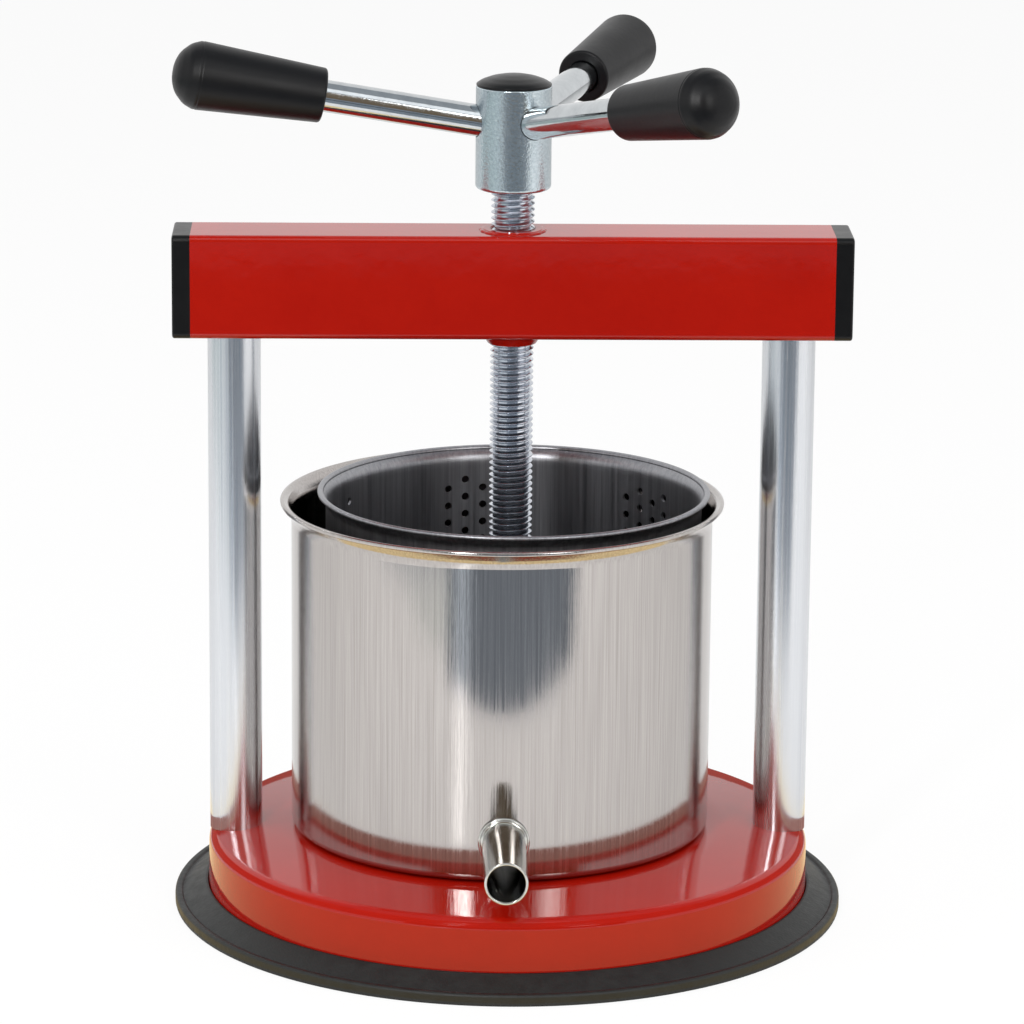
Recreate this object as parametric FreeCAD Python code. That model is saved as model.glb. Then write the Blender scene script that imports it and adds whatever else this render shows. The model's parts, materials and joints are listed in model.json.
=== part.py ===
import FreeCAD, Part
import math
import os

# A hand-turned fruit press. A screw runs through a bush in the crossbeam and pushes a plate
# down into a perforated basket; the juice leaves the surrounding pot through a spout.
# Lengths are in millimetres and angles in degrees. Z points up, X along the crossbeam and
# -Y towards the spout. The origin is on the screw axis, on the surface the press stands on.

# Base pan, deep drawn from sheet: level in the middle, then falling slightly to its edge
base_r = 115.4
base_top = 31.1
base_level_r = 82.0
base_fall = 2.6
base_sheet = 2.0
base_edge_r = 4.0
base_draft = 0.5

# Foot ring of moulded rubber, pushed on to the pan's lower edge
ring_reach = 12.8
ring_r = base_r + ring_reach
ring_lip_top = 4.6
ring_lip_w = 2.4
ring_groove_depth = 0.8
ring_top = 8.8
ring_top_w = 1.0
ring_leg_w = 4.0
ring_leg_top = 7.5
ring_channel_floor = 3.0
ring_edge_r = 0.8

# Pillars
pillar_d = 20.0
pillar_inset = 10.8
pillar_x = base_r - pillar_inset
pillar_chamfer = 0.4

# Crossbeam, rectangular tube
beam_overhang = 15.9
beam_length = 2 * (pillar_x + beam_overhang)
beam_depth = 30.0
beam_height = 39.3
beam_wall = 2.0
beam_corner_r = 2.4
beam_bottom = 223.0
cap_length = 6.8
cap_edge_r = 1.4
cap_stub = 7.5

# Bolts that hold the pillars: thread, head across flats, head height, washer
bolt_d = 8.0
bolt_af = 13.0
bolt_head_h = 5.3
bolt_length = 20.0
washer_r = 6.6
washer_t = 1.6
washer_sides = 24

# Screw and its bush
screw_d = 16.4
bush_d = 23.0
bush_below = 3.6
bush_above = 0.8
bush_tip_wall = 1.0

# Hub with its cap
hub_d = 28.4
hub_gap = 15.8
hub_bottom = beam_bottom + beam_height + hub_gap
hub_height = 38.9
hub_edge_r = 1.4
screw_in_hub = 16.0
hub_cap_rim = 0.8
hub_cap_dome = 3.6
hub_cap_stem_d = 8.0
hub_cap_stem = 5.0

# Handles: one direction and one rise for each of the three rods
handle_names = ["left", "front", "rear"]
handle_azimuths = [186.5, 304.6, 67.1]
handle_rises = [10.0, 12.0, 6.5]
handle_root_rise = 23.5
handle_root_z = hub_bottom + handle_root_rise
rod_d = 12.0
rod_start = 7.6
rod_in_grip = 38.0
grip_start = 72.4
grip_body = 46.9
grip_dome = 9.8
grip_inner_d = 20.4
grip_outer_d = 25.6
grip_edge_r = 1.0

# Basket
basket_x = 1.2
basket_d = 140.8
basket_sheet = 1.0
basket_top = 162.5
basket_rim_out = 4.2
basket_flare_h = 5.5
basket_floor_lift = 4.4
basket_floor_t = 1.5

# Perforations: groups of columns evenly round the basket, every second column half a row higher
hole_d = 3.0
hole_groups = 6
hole_columns = 4
hole_rows = 16
hole_pitch = 7.0
hole_row_pitch = 6.9
hole_top_drop = 16.5
hole_group_azimuth = 101.5

# Pot, larger all round than the basket by the juice gap
juice_gap = 9.6
pot_x = -3.2
pot_d = basket_d + 2 * juice_gap
pot_sheet = 1.0
pot_top = 159.0
pot_corner_r = 3.0
pot_rim_out = 4.3
pot_flare_h = 7.0

# Spout
spout_z = 47.4
spout_d = 16.0
spout_wall = 1.0
spout_step = 0.3
spout_length = 49.6
spout_reach = pot_d / 2 + spout_length
spout_collar_d = 19.8
spout_collar_t = 2.2

# Rolled edge of pot and basket
bead_d = 2.0
flare_bend_r = 12.0

# Press foot
plate_z = 54.0
plate_play = 4.9
plate_d = basket_d - 2 * basket_sheet - 2 * plate_play
plate_t = 4.0
plate_edge_r = 1.2
cup_flange_d = 52.0
cup_flange_t = 4.0
cup_boss_d = 30.0
cup_height = 18.0
cup_bore_d = 16.0
cup_floor_t = 2.0
cup_bolt_d = 5.0
cup_bolt_af = 8.0
cup_bolt_head_h = 3.5
cup_bolt_inset = 5.8
cup_bolt_circle = cup_flange_d - 2 * cup_bolt_inset
cup_bolt_count = 3
cup_bolt_start = 30.0
keeper_t = 2.8
keeper_screw_d = 3.0
keeper_screw_head_d = 5.5
keeper_screw_head_h = 2.4
keeper_screw_length = 8.0
keeper_screw_circle = 23.8
journal_neck_d = 11.2
keeper_play = 0.8

# Clearances
rest_gap = 0.3
weld_gap = 0.05
run_gap = 0.05
turn_gap = 0.3
bolt_gap = 0.2
channel_gap = 0.1

O = FreeCAD.Vector(0, 0, 0)
X = FreeCAD.Vector(1, 0, 0)
Y = FreeCAD.Vector(0, 1, 0)
Z = FreeCAD.Vector(0, 0, 1)


def outline(corners, place):
    # Closed wire through (u, v) corners. (u, v, radius, steps) rounds that corner in so many
    # short chords; one step is a plain chamfer. place turns (u, v) into a point in space.
    points = []
    count = len(corners)
    for i, corner in enumerate(corners):
        here = FreeCAD.Vector(corner[0], corner[1], 0)
        if len(corner) == 2:
            points.append(here)
            continue
        radius, steps = corner[2], corner[3]
        before = FreeCAD.Vector(corners[i - 1][0], corners[i - 1][1], 0) - here
        after = FreeCAD.Vector(corners[(i + 1) % count][0], corners[(i + 1) % count][1], 0) - here
        before.normalize()
        after.normalize()
        half = before.getAngle(after) / 2
        bisector = before + after
        bisector.normalize()
        centre = here + bisector * (radius / math.sin(half))
        start = here + before * (radius / math.tan(half)) - centre
        end = here + after * (radius / math.tan(half)) - centre
        sweep = start.getAngle(end)
        for k in range(steps + 1):
            a = sweep * k / steps
            spoke = start * (math.sin(sweep - a) / math.sin(sweep)) + end * (math.sin(a) / math.sin(sweep))
            points.append(centre + spoke)
    return Part.makePolygon([place(p.x, p.y) for p in points + points[:1]])


def turned(corners, x=0.0, y=0.0):
    # Solid of revolution about a vertical axis through (x, y), from (radius, height) corners.
    wire = outline(corners, lambda r, z: FreeCAD.Vector(r, 0, z))
    solid = Part.Face(wire).revolve(O, Z, 360)
    solid.translate(FreeCAD.Vector(x, y, 0))
    return solid


def rod(diameter, z0, z1, x=0.0, y=0.0):
    return Part.makeCylinder(diameter / 2, z1 - z0, FreeCAD.Vector(x, y, z0), Z)


def prism(sides, across_flats, z0, z1, x=0.0, y=0.0):
    # Upright prism on a regular polygon, such as a bolt's head.
    corner_r = across_flats / 2 / math.cos(math.pi / sides)
    points = []
    for i in range(sides + 1):
        a = math.pi * (2 * i + 1) / sides
        points.append(FreeCAD.Vector(x + corner_r * math.cos(a), y + corner_r * math.sin(a), z0))
    return Part.Face(Part.makePolygon(points)).extrude(FreeCAD.Vector(0, 0, z1 - z0))


def dome_points(rim_r, rim_z, height, steps):
    # Points of a shallow dome's half outline, from its rim to its tip, both included.
    ball_r = (rim_r ** 2 + height ** 2) / (2 * height)
    sweep = math.asin(rim_r / ball_r)
    points = []
    for k in range(steps + 1):
        a = sweep * (steps - k) / steps
        points.append((ball_r * math.sin(a), rim_z + height - ball_r + ball_r * math.cos(a)))
    return points


def along_rod(shape, azimuth, rise):
    # Turns a shape built along +Z from the hub's centre into a handle's direction.
    placed = shape.copy()
    placed.rotate(O, Y, 90 - rise)
    placed.rotate(O, Z, azimuth)
    placed.translate(FreeCAD.Vector(0, 0, handle_root_z))
    return placed


def circle_points(diameter, count, start=0.0):
    points = []
    for i in range(count):
        a = math.radians(start + 360.0 * i / count)
        points.append((diameter / 2 * math.cos(a), diameter / 2 * math.sin(a)))
    return points


def flared_sheet(radius, sheet, bottom, top, rim_out, flare_h):
    # Outer and inner halves of an upright sheet wall that flares out to a rolled edge.
    rim_r = radius + rim_out
    outer = [
        (radius, top - flare_h, flare_bend_r, 2),
        (rim_r - bead_d, top - bead_d),
        (rim_r, top - bead_d, bead_d * 0.45, 1),
        (rim_r, top, bead_d * 0.45, 1),
        (rim_r - bead_d, top),
        (radius - sheet, top - flare_h, flare_bend_r, 2),
    ]
    return outer


nodes = {}

# Base pan and foot ring
base_side_r = base_r - base_draft
pan_rim = ring_channel_floor
base_edge_z = base_top - base_fall
nodes["base_pan"] = turned([
    (0, base_top),
    (base_level_r, base_top),
    (base_side_r, base_edge_z, base_edge_r, 2),
    (base_r, pan_rim),
    (base_r - base_sheet, pan_rim),
    (base_side_r - base_sheet, base_edge_z - base_sheet, base_edge_r - base_sheet, 1),
    (base_level_r, base_top - base_sheet),
    (0, base_top - base_sheet),
])

ring_leg_r = base_r - base_sheet - channel_gap
nodes["rubber_foot_ring"] = turned([
    (ring_leg_r - ring_leg_w, 0),
    (ring_r, 0, ring_edge_r, 1),
    (ring_r, ring_lip_top, ring_edge_r, 1),
    (ring_r - ring_lip_w, ring_lip_top),
    (ring_r - ring_lip_w - ring_groove_depth, ring_lip_top - ring_groove_depth),
    (base_r + channel_gap + ring_top_w, ring_top),
    (base_r + channel_gap, ring_top),
    (base_r + channel_gap, ring_channel_floor),
    (ring_leg_r, ring_channel_floor),
    (ring_leg_r, ring_leg_top),
    (ring_leg_r - ring_leg_w, ring_leg_top),
])

# Crossbeam, drilled for the bush and for the pillar bolts
beam_top = beam_bottom + beam_height


def beam_section(inset, x0, length, corner):
    half = beam_depth / 2 - inset
    low = beam_bottom + inset
    high = beam_top - inset
    corners = [(-half, low), (half, low), (half, high), (-half, high)]
    if corner:
        corners = [(y, z, corner, 3) for y, z in corners]
    wire = outline(corners, lambda y, z: FreeCAD.Vector(x0, y, z))
    return Part.Face(wire).extrude(FreeCAD.Vector(length, 0, 0))


def washer(z0, z1, x):
    return prism(washer_sides, 2 * washer_r, z0, z1, x).cut(prism(washer_sides, bolt_d + 2 * bolt_gap, z0, z1, x))


beam = beam_section(0, -beam_length / 2, beam_length, beam_corner_r)
beam = beam.cut(beam_section(beam_wall, -beam_length / 2, beam_length, beam_corner_r - beam_wall))
beam = beam.cut(rod(bush_d + 2 * weld_gap, beam_bottom - 1, beam_top + 1))

beam_floor = beam_bottom + beam_wall
base_pan = nodes["base_pan"]

# The pillars' feet are faced to the fall of the pan, and each washer has a level seat under it
fall_per_mm = base_fall / (base_side_r - base_level_r)
foot_reach = pillar_x + pillar_d
foot_facing = turned([
    (0, 0),
    (foot_reach, 0),
    (foot_reach, base_top - fall_per_mm * (foot_reach - base_level_r)),
    (base_level_r, base_top),
    (0, base_top),
])
seat_z = base_top - base_sheet - fall_per_mm * (pillar_x - base_level_r)
seat_d = 2 * (washer_r + bolt_gap)

# Pillars with their bolts and washers, one pair on each side
for side, sign in (("left", -1), ("right", 1)):
    x = sign * pillar_x
    bolt_hole = rod(bolt_d + 2 * bolt_gap, seat_z - 1, beam_floor + 1, x)
    base_pan = base_pan.cut(bolt_hole)
    base_pan = base_pan.cut(rod(seat_d, seat_z - base_sheet, seat_z, x))
    beam = beam.cut(bolt_hole)

    pillar = rod(pillar_d, base_top - base_fall - base_sheet, beam_bottom, x)
    ends = [e for e in pillar.Edges if isinstance(e.Curve, Part.Circle)]
    pillar = pillar.makeChamfer(pillar_chamfer, ends)
    pillar = pillar.cut(foot_facing)
    lower_end = seat_z - washer_t + bolt_length
    upper_end = beam_floor + washer_t - bolt_length
    pillar = pillar.cut(rod(bolt_d + 2 * weld_gap, seat_z, lower_end + 1, x))
    pillar = pillar.cut(rod(bolt_d + 2 * weld_gap, upper_end - 1, beam_bottom, x))
    nodes["pillar_" + side] = pillar

    head_low = seat_z - washer_t
    bolt = rod(bolt_d, head_low, lower_end, x)
    nodes["base_bolt_" + side] = bolt.fuse(prism(6, bolt_af, head_low - bolt_head_h, head_low, x))
    nodes["base_washer_" + side] = washer(head_low, seat_z, x)

    head_high = beam_floor + washer_t
    bolt = rod(bolt_d, upper_end, head_high, x)
    nodes["beam_bolt_" + side] = bolt.fuse(prism(6, bolt_af, head_high, head_high + bolt_head_h, x))
    nodes["beam_washer_" + side] = washer(beam_floor, head_high, x)

    # Plastic plug: a head flush with the tube and a hollow stub inside it
    tube_end = sign * beam_length / 2
    head = beam_section(0, tube_end, sign * cap_length, beam_corner_r)
    outer_end = tube_end + sign * cap_length
    rim = [e for e in head.Edges if abs(e.BoundBox.XMin - outer_end) < 1e-6
           and abs(e.BoundBox.XMax - outer_end) < 1e-6]
    head = head.makeChamfer(cap_edge_r / 2, rim)
    stub_inset = beam_wall + channel_gap
    stub_wall = 2.0
    stub = beam_section(stub_inset, tube_end, -sign * cap_stub, 0)
    stub = stub.cut(beam_section(stub_inset + stub_wall, tube_end, -sign * cap_stub, 0))
    nodes["end_cap_" + side] = head.fuse(stub)

nodes["base_pan"] = base_pan
nodes["beam_tube"] = beam

# Threaded bush welded through the beam, narrowed below to a thin lip round the screw
bore_r = screw_d / 2 + run_gap
bush_low = beam_bottom - bush_below
bush_high = beam_top + bush_above
nodes["screw_nut"] = turned([
    (bore_r, bush_low),
    (bore_r + bush_tip_wall, bush_low),
    (bush_d / 2, beam_bottom),
    (bush_d / 2, bush_high),
    (bore_r, bush_high),
])

# Press foot: plate, thrust cup on top of it and a keeper that holds the screw's neck
plate_top = plate_z + plate_t
flange_top = plate_top + cup_flange_t
cup_top = plate_top + cup_height
keeper_top = cup_top + keeper_t
cup_floor = plate_top + cup_floor_t

plate = turned([
    (0, plate_z),
    (plate_d / 2, plate_z, plate_edge_r, 1),
    (plate_d / 2, plate_top, plate_edge_r, 1),
    (0, plate_top),
])
cup = turned([
    (0, plate_top),
    (cup_flange_d / 2, plate_top),
    (cup_flange_d / 2, flange_top, 1.0, 1),
    (cup_boss_d / 2, flange_top),
    (cup_boss_d / 2, cup_top),
    (cup_bore_d / 2, cup_top),
    (cup_bore_d / 2, cup_floor),
    (0, cup_floor),
])
for i, (x, y) in enumerate(circle_points(cup_bolt_circle, cup_bolt_count, cup_bolt_start)):
    hole = rod(cup_bolt_d + 2 * weld_gap, plate_z, flange_top + 1, x, y)
    plate = plate.cut(hole)
    cup = cup.cut(hole)
    bolt = rod(cup_bolt_d, plate_z, flange_top, x, y)
    bolt = bolt.fuse(prism(6, cup_bolt_af, flange_top, flange_top + cup_bolt_head_h, x, y))
    nodes["cup_bolt_%d" % (i + 1)] = bolt
nodes["press_plate"] = plate

slot_w = journal_neck_d + 2 * turn_gap
keeper = rod(cup_boss_d, cup_top, keeper_top)
keeper = keeper.cut(rod(slot_w, cup_top, keeper_top))
slot_corner = FreeCAD.Vector(-slot_w / 2, -cup_boss_d, cup_top)
keeper = keeper.cut(Part.makeBox(slot_w, cup_boss_d, keeper_t, slot_corner))
for i, (x, y) in enumerate(circle_points(keeper_screw_circle, 2)):
    screw_end = keeper_top - keeper_screw_length
    hole = rod(keeper_screw_d + 2 * weld_gap, screw_end - 1, keeper_top + 1, x, y)
    keeper = keeper.cut(hole)
    cup = cup.cut(hole)
    body = rod(keeper_screw_d, screw_end, keeper_top, x, y)
    head = rod(keeper_screw_head_d, keeper_top, keeper_top + keeper_screw_head_h, x, y)
    nodes["keeper_screw_%d" % (i + 1)] = body.fuse(head)
nodes["keeper_plate"] = keeper
nodes["thrust_cup"] = cup

# Screw: threaded shank at its crest size, neck under the keeper and a journal in the cup
hub_top = hub_bottom + hub_height
screw_top = hub_bottom + screw_in_hub
neck_low = cup_top - keeper_play
neck_high = keeper_top + keeper_play
journal_r = cup_bore_d / 2 - turn_gap
nodes["screw"] = turned([
    (0, cup_floor + rest_gap),
    (journal_r, cup_floor + rest_gap, 0.8, 1),
    (journal_r, neck_low),
    (journal_neck_d / 2, neck_low),
    (journal_neck_d / 2, neck_high),
    (screw_d / 2 - 0.8, neck_high),
    (screw_d / 2, neck_high + 0.8),
    (screw_d / 2, screw_top - 0.8),
    (screw_d / 2 - 0.8, screw_top),
    (0, screw_top),
])

# Hub: bored from below for the screw, from above for the cap and sideways for the rods
hub = turned([
    (0, hub_bottom),
    (hub_d / 2, hub_bottom, hub_edge_r, 2),
    (hub_d / 2, hub_top),
    (0, hub_top),
])
hub = hub.cut(rod(screw_d + 2 * weld_gap, hub_bottom, screw_top + weld_gap))
hub = hub.cut(rod(hub_cap_stem_d + 2 * weld_gap, hub_top - hub_cap_stem - weld_gap, hub_top))
rod_end = grip_start + rod_in_grip
drill = rod(rod_d + 2 * weld_gap, rod_start - weld_gap, hub_d)
handle_rod = rod(rod_d, rod_start, rod_end)

# Grip: a cone with a domed end and a blind hole for the rod
dome_base = grip_start + grip_body
hole_end = rod_end + rest_gap
grip = turned(
    [(rod_d / 2 + weld_gap, grip_start), (grip_inner_d / 2, grip_start, grip_edge_r, 1)]
    + dome_points(grip_outer_d / 2, dome_base, grip_dome, 5)
    + [(0, hole_end), (rod_d / 2 + weld_gap, hole_end)])
for name, azimuth, rise in zip(handle_names, handle_azimuths, handle_rises):
    hub = hub.cut(along_rod(drill, azimuth, rise))
    nodes["handle_rod_" + name] = along_rod(handle_rod, azimuth, rise)
    nodes["handle_grip_" + name] = along_rod(grip, azimuth, rise)
nodes["hub"] = hub

# Domed cap pressed into the top of the hub
cap_r = hub_d / 2 - 0.1
stem_r = hub_cap_stem_d / 2
nodes["hub_cap"] = turned(
    [(0, hub_top - hub_cap_stem), (stem_r, hub_top - hub_cap_stem), (stem_r, hub_top), (cap_r, hub_top)]
    + dome_points(cap_r, hub_top + hub_cap_rim, hub_cap_dome, 5))

# Pot: a drawn shell with a flared, rolled rim
pot_low = base_top + rest_gap
pot_r = pot_d / 2
pot = turned(
    [(0, pot_low), (pot_r, pot_low, pot_corner_r, 2)]
    + flared_sheet(pot_r, pot_sheet, pot_low, pot_top, pot_rim_out, pot_flare_h)
    + [(pot_r - pot_sheet, pot_low + pot_sheet, pot_corner_r - pot_sheet, 1), (0, pot_low + pot_sheet)],
    pot_x)


def level_rod(diameter, y0, y1):
    # Cylinder along -Y from the pot's axis at the height of the spout.
    return Part.makeCylinder(diameter / 2, y1 - y0, FreeCAD.Vector(pot_x, -y0, spout_z), -Y)


spout_root = pot_r - pot_sheet
collar_face = pot_r + spout_collar_t
spout_seat_d = spout_d - 2 * spout_step
nodes["pot_shell"] = pot.cut(level_rod(spout_seat_d + 2 * weld_gap, pot_r / 2, pot_r + 5))
spout = level_rod(spout_seat_d, spout_root, spout_reach)
spout = spout.fuse(level_rod(spout_d, collar_face + rest_gap, spout_reach))
nodes["spout_tube"] = spout.cut(level_rod(spout_d - 2 * spout_wall, spout_root, spout_reach))
collar = level_rod(spout_collar_d, pot_r - 2, collar_face)
collar = collar.cut(level_rod(spout_seat_d + 2 * weld_gap, pot_r - 3, collar_face))
nodes["spout_collar"] = collar.cut(rod(pot_d + 2 * weld_gap, pot_low, pot_top, pot_x))

# Basket: flared wall standing on the pot's floor, with a raised floor welded in
basket_r = basket_d / 2
basket_low = pot_low + pot_sheet + rest_gap
basket_floor_z = basket_low + basket_floor_lift
nodes["basket_wall"] = turned(
    [(basket_r - basket_sheet, basket_low), (basket_r, basket_low)]
    + flared_sheet(basket_r, basket_sheet, basket_low, basket_top, basket_rim_out, basket_flare_h),
    basket_x)

# The round holes are kept plain as squares of the same area
hole_side = hole_d * math.sqrt(math.pi) / 2
hole_top = basket_top - hole_top_drop
punch = prism(4, hole_side, basket_r - 2 * basket_sheet, basket_r + basket_sheet)
punch.rotate(O, Y, 90)
column_angle = math.degrees(hole_pitch / basket_r)
holes = []
for group in range(hole_groups):
    group_azimuth = hole_group_azimuth + 360.0 * group / hole_groups
    for column in range(hole_columns):
        azimuth = group_azimuth + column_angle * ((hole_columns - 1) / 2 - column)
        top = hole_top + hole_row_pitch / 2 * (column % 2)
        for row in range(hole_rows):
            hole = punch.copy()
            hole.rotate(O, Z, azimuth)
            hole.translate(FreeCAD.Vector(basket_x, 0, top - row * hole_row_pitch))
            holes.append(hole)
nodes["basket_wall"] = nodes["basket_wall"].cut(Part.makeCompound(holes))

floor_r = basket_r - basket_sheet - weld_gap
nodes["basket_floor"] = rod(2 * floor_r, basket_floor_z, basket_floor_z + basket_floor_t, basket_x)

os.makedirs("parts", exist_ok=True)
for name, shape in nodes.items():
    shape.exportStep("parts/%s.step" % name)
    print(name, "solids", len(shape.Solids), "volume %.0f" % shape.Volume, "valid", shape.isValid())
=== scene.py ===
# %% [markdown]
# # A hand-turned fruit press
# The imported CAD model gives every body, joint and size. This lesson dresses it: each cell
# makes one piece with bmesh operators, or one finish with shader nodes, and lets the piece
# ride on the body that it belongs to. The press is written in millimetres and turned into
# metres once, where a mesh is finished. Stage, lamps and camera are written in metres.

import json
import math

import bmesh
import bpy
from mathutils import Matrix, Quaternion, Vector


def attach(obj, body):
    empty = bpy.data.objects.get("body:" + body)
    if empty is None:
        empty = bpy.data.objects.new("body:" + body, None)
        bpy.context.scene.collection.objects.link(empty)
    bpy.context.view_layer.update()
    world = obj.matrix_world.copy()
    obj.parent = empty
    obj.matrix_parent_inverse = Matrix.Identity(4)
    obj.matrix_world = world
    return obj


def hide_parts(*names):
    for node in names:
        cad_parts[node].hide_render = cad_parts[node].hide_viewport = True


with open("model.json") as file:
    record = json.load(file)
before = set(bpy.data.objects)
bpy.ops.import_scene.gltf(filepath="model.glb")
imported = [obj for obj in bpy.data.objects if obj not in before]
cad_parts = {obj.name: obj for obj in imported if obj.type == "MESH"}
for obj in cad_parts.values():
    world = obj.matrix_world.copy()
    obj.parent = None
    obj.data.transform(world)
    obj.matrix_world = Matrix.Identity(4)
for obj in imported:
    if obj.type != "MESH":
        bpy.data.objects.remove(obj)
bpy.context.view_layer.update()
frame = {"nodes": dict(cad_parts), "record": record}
MM = 0.001
scene = bpy.context.scene

# %% [markdown]
# ## Helpers for turned parts
# A turned part starts as a chain of edges. Bevelling one vertex of that chain rounds the
# corner with a true arc, and spinning the chain about the axis makes the skin. Most of this
# press was turned, spun or drawn round, so this one helper makes more than half of it.

# %% Chain and lathe
SMALL_ARC = 1.0


def only(items, kind):
    # The vertices, edges or faces among what an operator hands back.
    return [item for item in items if isinstance(item, kind)]


def merged(bm, near):
    # Join vertices that lie on each other, then turn every face outwards.
    bmesh.ops.remove_doubles(bm, verts=bm.verts, dist=near)
    bmesh.ops.recalc_face_normals(bm, faces=bm.faces)


def laid(bm, matrix):
    # Move and turn a whole bmesh, and hand it back.
    bmesh.ops.transform(bm, matrix=matrix, verts=bm.verts)
    return bm


def chain(bm, corners, closed=False):
    # Corners are (radius, height) with an optional rounding radius, in the XZ plane.
    verts = [bm.verts.new((corner[0], 0, corner[1])) for corner in corners]
    for first, second in zip(verts, verts[1:]):
        bm.edges.new((first, second))
    if closed:
        bm.edges.new((verts[-1], verts[0]))
    for vert, corner in zip(verts, corners):
        if len(corner) < 3:
            continue
        arms = [(edge.other_vert(vert).co - vert.co).normalized() for edge in vert.link_edges]
        setback = corner[2] / math.tan(arms[0].angle(arms[1]) / 2)
        bmesh.ops.bevel(bm, geom=[vert], offset=setback, affect="VERTICES",
                        segments=3 if corner[2] < SMALL_ARC else 6, profile=0.5, material=-1)
    return bm


def add(bm, other):
    # Copy another bmesh into this one.
    carrier = bpy.data.meshes.new("carrier")
    other.to_mesh(carrier)
    other.free()
    bm.from_mesh(carrier)
    bpy.data.meshes.remove(carrier)


def lathe(corners, steps=96, closed=False, centre=(0, 0), bm=None):
    # Spin a chain about a vertical axis; a chain that reaches the axis closes itself there.
    turned = chain(bmesh.new(), corners, closed)
    bmesh.ops.spin(turned, geom=turned.verts[:] + turned.edges[:], cent=(0, 0, 0),
                   axis=(0, 0, 1), angle=math.tau, steps=steps, use_merge=True)
    merged(turned, 1e-4)
    bmesh.ops.translate(turned, vec=(*centre, 0), verts=turned.verts)
    if bm is None:
        return turned
    add(bm, turned)
    return bm


print("a lathe rounds corners below", SMALL_ARC, "mm in 3 steps and wider ones in 6")

# %% [markdown]
# ## Helpers for finished pieces
# A piece is shaded smooth, except over edges sharper than an angle. A Weighted Normal modifier
# then lets wide faces decide the shading, so that a flat panel or a straight wall mirrors truly
# right up to its rounded edge. Its result is kept in the mesh. Every piece is also noted under
# its material slot, which a finish reads later.

# %% From bmesh to finished piece
WEARERS = {}


def applied(piece):
    # Keep in the mesh what the piece's modifiers make of it.
    bpy.context.view_layer.update()
    old = piece.data
    piece.data = bpy.data.meshes.new_from_object(
        piece.evaluated_get(bpy.context.evaluated_depsgraph_get()))
    piece.modifiers.clear()
    name = old.name
    bpy.data.meshes.remove(old)
    piece.data.name = name


def shaded(piece, sharp):
    # Smooth shading up to an angle in degrees, with the weight on wide faces.
    applied(piece)
    piece.data.shade_smooth()
    piece.data.set_sharp_from_angle(angle=math.radians(sharp))
    weigh = piece.modifiers.new("wide faces", "WEIGHTED_NORMAL")
    weigh.mode = "FACE_AREA"
    weigh.keep_sharp = True
    applied(piece)


def in_metres(bm, name):
    # A bmesh in mm becomes an object in metres, with its place in its mesh.
    bmesh.ops.scale(bm, vec=(MM, MM, MM), verts=bm.verts)
    mesh = bpy.data.meshes.new(name)
    bm.to_mesh(mesh)
    bm.free()
    made = bpy.data.objects.new(name, mesh)
    scene.collection.objects.link(made)
    return made


def finished(bm, name, body, slot, nodes, sharp=35):
    # The piece rides on its body and stands for the CAD nodes that it replaces.
    piece = in_metres(bm, name)
    shaded(piece, sharp)
    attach(piece, body)
    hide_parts(*nodes)
    WEARERS.setdefault(slot, []).append(piece)
    print(f"{name}: {len(piece.data.polygons)} faces on {body}")
    return piece


# %% [markdown]
# ## Base pan
# The base is a pan pressed from sheet steel and painted. It is level under the pot, falls a
# little towards its edge and bends over a small radius there, which catches a thin highlight.
# Its side leans in by half a millimetre, as a pressing does to come off its tool.

# %% Base pan
PAN_R, PAN_LEAN, PAN_SHEET = 115.4, 0.5, 2.0
PAN_TOP, PAN_SHOULDER, PAN_FOOT = 31.1, 28.5, 3.0
LEVEL_R, FALL_BEND = 82.0, 60.0
pan = lathe([(0, PAN_TOP), (LEVEL_R, PAN_TOP, FALL_BEND), (PAN_R - PAN_LEAN, PAN_SHOULDER, 4.2),
             (PAN_R, PAN_FOOT, 0.5), (PAN_R - PAN_SHEET, PAN_FOOT, 0.5),
             (PAN_R - PAN_LEAN - PAN_SHEET, PAN_SHOULDER - PAN_SHEET, 2.2),
             (LEVEL_R, PAN_TOP - PAN_SHEET, FALL_BEND), (0, PAN_TOP - PAN_SHEET)], steps=160)
finished(pan, "pressed_base", "frame", "red_paint", ["base_pan"])

# %% [markdown]
# ## Rubber foot ring
# The rubber ring is pushed over the pan's lower edge, which sits in a groove, and stands on the
# table with a wide lip. The lip's top slopes up towards the pan and has a low bead at its edge.

# %% Rubber foot ring
RING_IN, RING_OUT, LIP_TOP, WELT_TOP, INNER_TOP = 109.3, 128.2, 4.6, 8.8, 7.5
GROOVE_OUT, GROOVE_IN = PAN_R + 0.1, PAN_R - PAN_SHEET - 0.1
foot = lathe([(RING_IN, 0, 0.8), (RING_OUT, 0, 0.9), (RING_OUT, LIP_TOP, 1.2),
              (RING_OUT - 2.4, LIP_TOP, 0.9), (RING_OUT - 3.2, LIP_TOP - 0.7, 0.4),
              (GROOVE_OUT + 1.0, WELT_TOP, 0.5), (GROOVE_OUT, WELT_TOP, 0.3),
              (GROOVE_OUT, PAN_FOOT), (GROOVE_IN, PAN_FOOT), (GROOVE_IN, INNER_TOP, 0.6),
              (RING_IN, INNER_TOP, 1.2)], steps=160, closed=True)
finished(foot, "rubber_ring", "frame", "rubber", ["rubber_foot_ring"])

# %% [markdown]
# ## Crossbeam
# A rectangular steel tube with softly rounded edges. A cube is stretched to size and its four
# long edges are bevelled. Each open end is inset by the wall and pushed inwards, so that the
# plug sits in a real hollow.

# %% Crossbeam
BEAM_LOW, BEAM_HIGH, BEAM_HALF, BEAM_DEEP = 223.0, 262.3, 120.5, 15.0
BEAM_EDGE, BEAM_WALL, BEAM_HOLLOW = 2.4, 2.0, 12


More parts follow.
